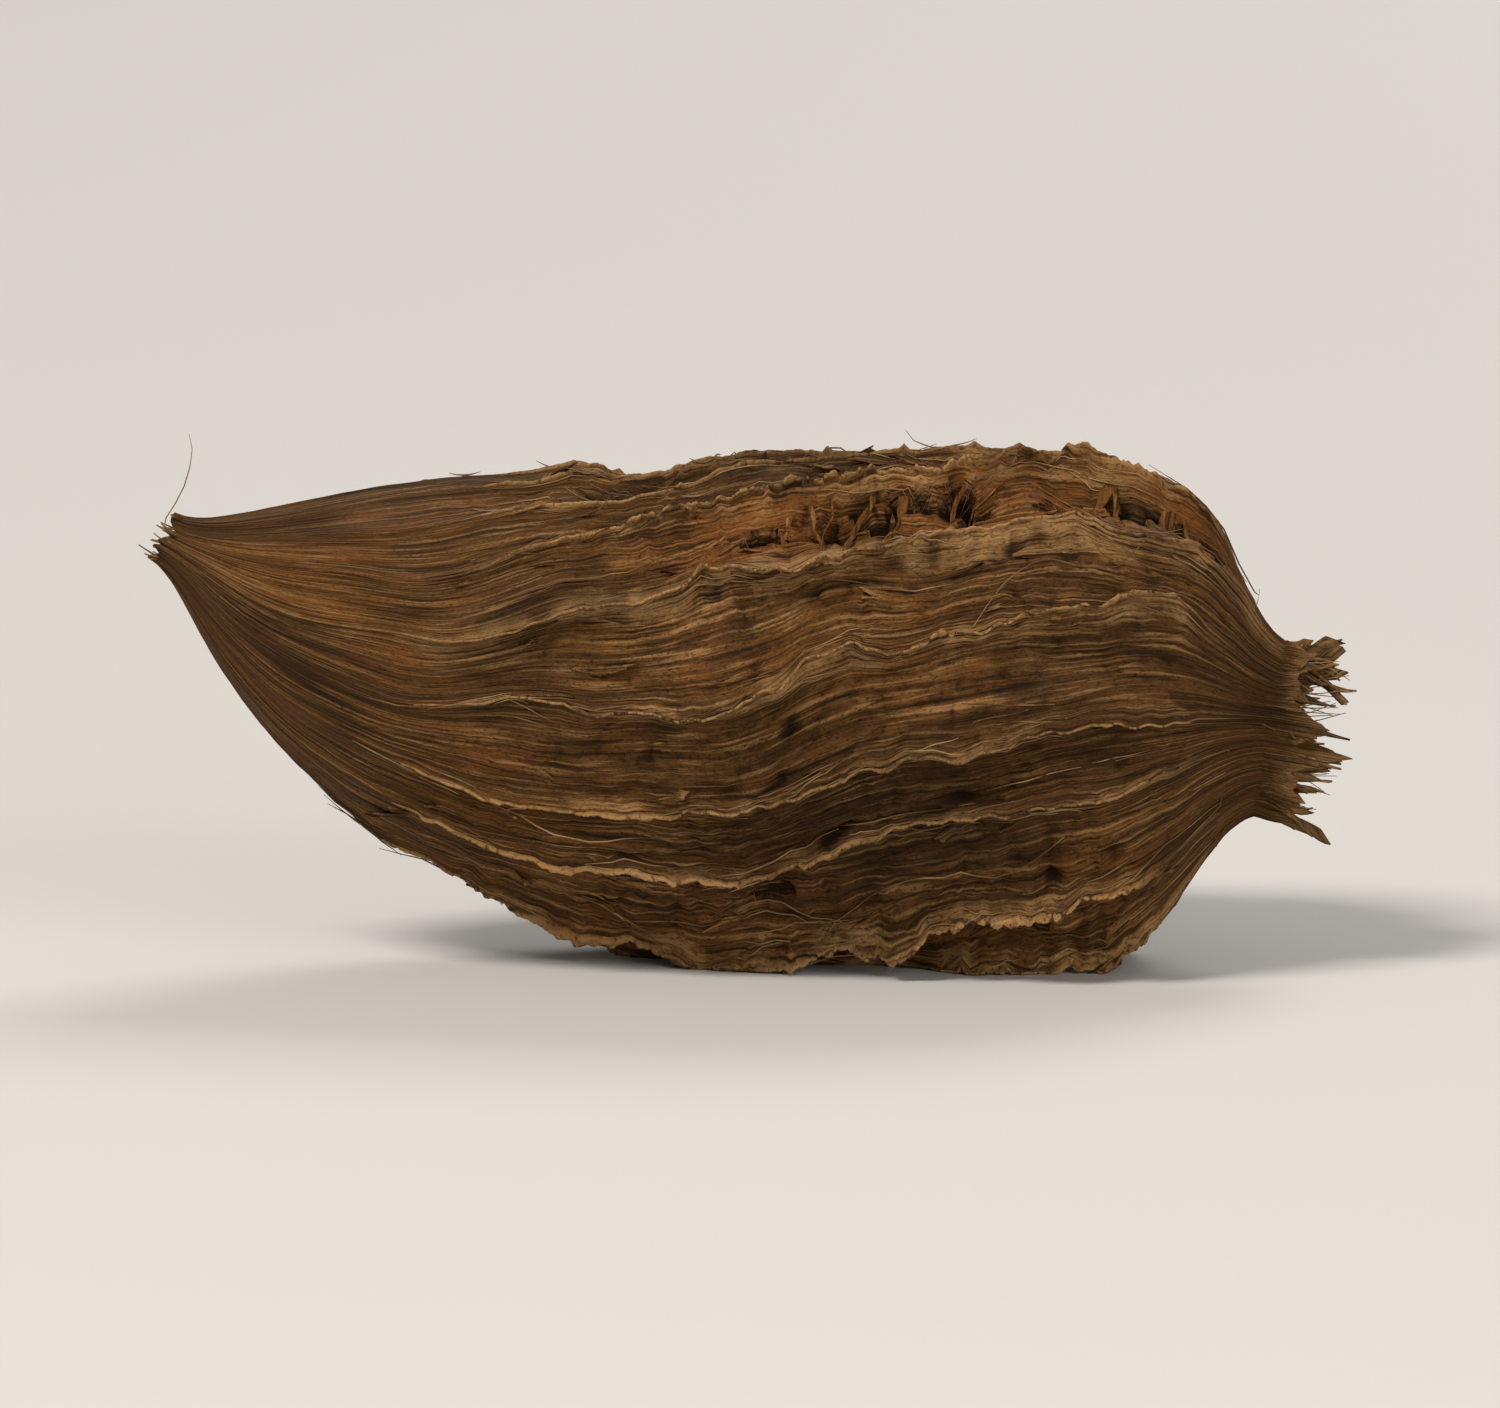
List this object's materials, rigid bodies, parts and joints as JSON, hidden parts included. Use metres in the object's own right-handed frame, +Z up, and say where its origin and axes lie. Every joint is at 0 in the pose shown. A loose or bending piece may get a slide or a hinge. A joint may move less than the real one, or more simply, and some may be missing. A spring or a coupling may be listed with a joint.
{
  "type": "black cardamom pod",
  "caption": "Whole dried black cardamom pod lying on its side: a blunt brown husk with crinkled lengthwise wings, a stalk scar and the torn crown of its dried flower tube.",
  "frame": {"origin": "on the surface the pod lies on, under the centre of its outer box", "axes": "+X along the pod from the stalk scar to the flower crown, +Z up, -Y towards the side that shows in the picture"},
  "size_m": [0.031, 0.015, 0.0132],
  "materials": {
    "husk": "matte"
  },
  "bodies": {
    "root": {"pod": "husk"}
  },
  "joints": []
}
